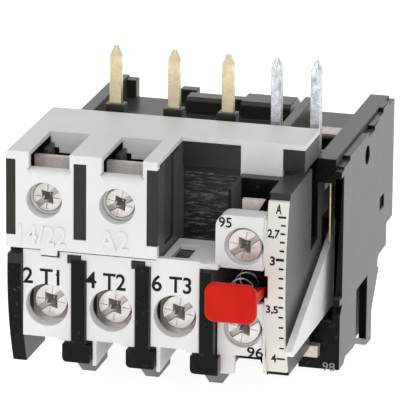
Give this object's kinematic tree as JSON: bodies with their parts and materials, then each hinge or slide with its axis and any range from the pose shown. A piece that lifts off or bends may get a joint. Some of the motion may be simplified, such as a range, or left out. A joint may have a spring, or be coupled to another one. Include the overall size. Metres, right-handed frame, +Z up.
{
  "type": "thermal overload relay",
  "caption": "Plug-in thermal overload relay with screw terminals, contactor pins, a sliding current-setting lever and a red reset button.",
  "frame": {"origin": "centre of the bounding box in plan, at the lowest point of the rear foot", "axes": "+X to the right seen from the terminals, +Y from the terminal face to the rear, +Z up along the contactor pins"},
  "size_m": [0.045, 0.0632, 0.0484],
  "materials": {
    "bar_copper": "copper alloy strip",
    "bimetal_steel": "rolled strip",
    "black_moulding": "smooth black glass-filled moulding",
    "button_red": "satin red moulding",
    "clamp_zinc": "zinc plate",
    "heater_tape": "resistance tape",
    "lever_white": "smooth white moulding",
    "light_moulding": "fine matt light grey moulding",
    "pin_brass": "stamped brass",
    "pin_steel": "ground pin",
    "pin_tinned": "tinned, mottled",
    "scale_cream": "printed cream strip",
    "screw_nickel": "nickel plate",
    "spring_wire": "spring wire",
    "trip_plastic": "natural moulding"
  },
  "bodies": {
    "relay": {"bimetal_1": "bimetal_steel", "bimetal_2": "bimetal_steel", "bimetal_3": "bimetal_steel", "clamp_98": "clamp_zinc", "contact_bar_95": "bar_copper", "contact_bar_96": "bar_copper", "contact_clamp_95": "clamp_zinc", "contact_clamp_96": "clamp_zinc", "contact_pin": "pin_steel", "contact_strip_97": "pin_brass", "control_bar_14": "bar_copper", "control_bar_a2": "bar_copper", "control_clamp_14": "clamp_zinc", "control_clamp_a2": "clamp_zinc", "control_pin_14": "pin_tinned", "control_pin_a2": "pin_tinned", "fixed_contact": "pin_brass", "front_cover": "light_moulding", "heater_1": "heater_tape", "heater_2": "heater_tape", "heater_3": "heater_tape", "housing": "black_moulding", "lever_pin": "pin_steel", "line_pin_1": "pin_brass", "line_pin_2": "pin_brass", "line_pin_3": "pin_brass", "load_bar_1": "bar_copper", "load_bar_2": "bar_copper", "load_bar_3": "bar_copper", "load_clamp_1": "clamp_zinc", "load_clamp_2": "clamp_zinc", "load_clamp_3": "clamp_zinc", "reset_spring": "spring_wire", "scale_strip": "scale_cream", "side_cover": "black_moulding", "terminal_cover": "light_moulding", "tray_strip": "clamp_zinc", "trip_pin": "pin_steel"},
    "reset": {"reset_button": "button_red"},
    "setting": {"adjusting_lever": "lever_white"},
    "slider": {"trip_slider": "trip_plastic"},
    "trip": {"trip_lever": "trip_plastic", "compensating_strip": "bimetal_steel"},
    "contact": {"moving_contact": "pin_brass"},
    "load_screw_1": {"load_screw_1": "screw_nickel"},
    "load_screw_2": {"load_screw_2": "screw_nickel"},
    "load_screw_3": {"load_screw_3": "screw_nickel"},
    "control_screw_14": {"control_screw_14": "screw_nickel"},
    "control_screw_a2": {"control_screw_a2": "screw_nickel"},
    "contact_screw_95": {"contact_screw_95": "screw_nickel"},
    "contact_screw_96": {"contact_screw_96": "screw_nickel"}
  },
  "joints": [
    {"name": "reset_press", "type": "slide", "parent": "relay", "child": "reset", "axis": [0, 1, 0], "range_m": [0, 0.003], "stiffness_N_per_m": 600, "springref_m": -0.0015, "deforming": ["reset_spring"]},
    {"name": "current_adjust", "type": "hinge", "parent": "relay", "child": "setting", "pos_m": [0.01945, 0.0168, 0.0206], "axis": [-1, 0, 0], "range_deg": [0, 26]},
    {"name": "trip_slide", "type": "slide", "parent": "relay", "child": "slider", "axis": [1, 0, 0], "range_m": [0, 0.0015]},
    {"name": "trip_swing", "type": "hinge", "parent": "relay", "child": "trip", "pos_m": [0.0131, 0.0078, 0.0212], "axis": [0, -1, 0], "range_deg": [0, 8]},
    {"name": "contact_swing", "type": "hinge", "parent": "relay", "child": "contact", "pos_m": [0.0161, 0.0119, 0.022], "axis": [0, 1, 0], "range_deg": [0, 8]},
    {"name": "load_screw_1_turn", "type": "hinge", "parent": "relay", "child": "load_screw_1", "pos_m": [-0.01655, -0.0222, 0.0153], "axis": [0, -1, 0], "continuous": true},
    {"name": "load_screw_2_turn", "type": "hinge", "parent": "relay", "child": "load_screw_2", "pos_m": [-0.00695, -0.0222, 0.0153], "axis": [0, -1, 0], "continuous": true},
    {"name": "load_screw_3_turn", "type": "hinge", "parent": "relay", "child": "load_screw_3", "pos_m": [0.00265, -0.0222, 0.0153], "axis": [0, -1, 0], "continuous": true},
    {"name": "control_screw_14_turn", "type": "hinge", "parent": "relay", "child": "control_screw_14", "pos_m": [-0.0167, -0.0222, 0.03145], "axis": [0, -1, 0], "continuous": true},
    {"name": "control_screw_a2_turn", "type": "hinge", "parent": "relay", "child": "control_screw_a2", "pos_m": [-0.0058, -0.0222, 0.03145], "axis": [0, -1, 0], "continuous": true},
    {"name": "contact_screw_95_turn", "type": "hinge", "parent": "relay", "child": "contact_screw_95", "pos_m": [0.0124, -0.0222, 0.0263], "axis": [0, -1, 0], "continuous": true},
    {"name": "contact_screw_96_turn", "type": "hinge", "parent": "relay", "child": "contact_screw_96", "pos_m": [0.0124, -0.0222, 0.01395], "axis": [0, -1, 0], "continuous": true}
  ],
  "couplings": [
    {"joint": "trip_swing", "follows": "trip_slide", "rad_per_m": 83.333},
    {"joint": "contact_swing", "follows": "trip_slide", "rad_per_m": 66.667}
  ]
}
